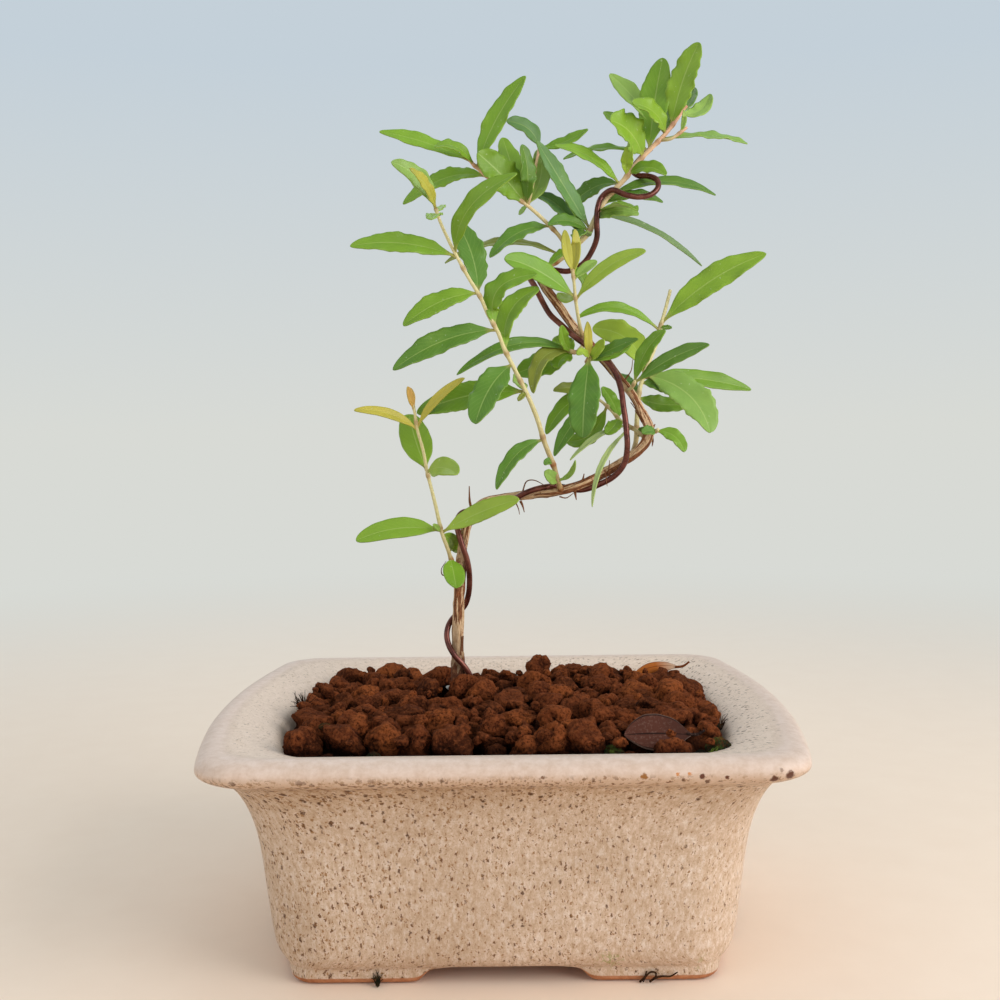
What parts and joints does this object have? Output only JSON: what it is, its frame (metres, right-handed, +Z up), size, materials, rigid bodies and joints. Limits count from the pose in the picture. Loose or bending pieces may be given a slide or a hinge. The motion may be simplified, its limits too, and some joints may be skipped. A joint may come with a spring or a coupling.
{
  "type": "pomegranate bonsai",
  "caption": "Wired miniature pomegranate tree with leafy shoots, growing in clay granules in a rectangular footed bonsai pot.",
  "frame": {"origin": "under the middle of the pot, on the plane its feet stand on", "axes": "+Z up, +Y towards the back of the pot, +X to the right along its long side"},
  "size_m": [0.1486, 0.127, 0.2372],
  "materials": {
    "glaze": "matt speckled glaze",
    "drain_mesh": "woven",
    "granules": "crumbly",
    "bark": "flaking bark",
    "wire": "dark brown anodised",
    "leaf_green": "waxy leaf",
    "leaf_dark": "waxy leaf",
    "leaf_young": "waxy leaf",
    "dry_leaf": "dry leaf"
  },
  "bodies": {
    "root": {"pot": "glaze", "drain_mesh_left": "drain_mesh", "drain_mesh_right": "drain_mesh", "soil": "granules", "trunk": "bark", "training_wire": "wire", "lower_left_shoot": "leaf_green", "long_left_shoot": "leaf_green", "upper_left_shoot": "leaf_green", "apex_shoot": "leaf_green", "young_shoot": "leaf_young", "front_spur": "leaf_green", "left_spur": "leaf_green", "inner_twig": "leaf_dark", "right_shoot": "leaf_green", "right_spur": "leaf_green", "corner_spur": "leaf_green", "fallen_leaf_purple": "dry_leaf", "fallen_leaf_rust": "dry_leaf"}
  },
  "joints": []
}
